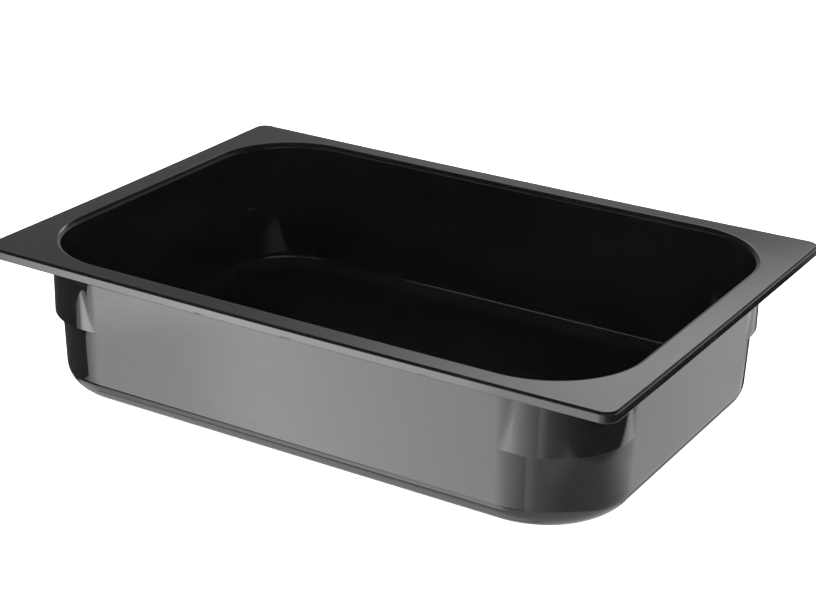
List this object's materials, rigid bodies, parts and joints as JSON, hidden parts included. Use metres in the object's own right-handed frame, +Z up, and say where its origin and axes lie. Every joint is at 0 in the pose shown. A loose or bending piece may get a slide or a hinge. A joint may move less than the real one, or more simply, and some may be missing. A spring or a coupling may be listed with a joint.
{
  "type": "deli food pan",
  "caption": "Shallow rectangular display pan with drafted walls, rounded corners, a flat rim with a turned-down lip to hang by, and corner shoulders for stacking.",
  "frame": {"origin": "middle of the floor's underside, on the surface the pan stands on", "axes": "+Z up out of the mouth, +X along the long side"},
  "size_m": [0.36, 0.25, 0.08],
  "materials": {
    "pan_plastic": "gloss black moulded polycarbonate, as it leaves a polished mould"
  },
  "bodies": {
    "root": {"pan": "pan_plastic"}
  },
  "joints": []
}
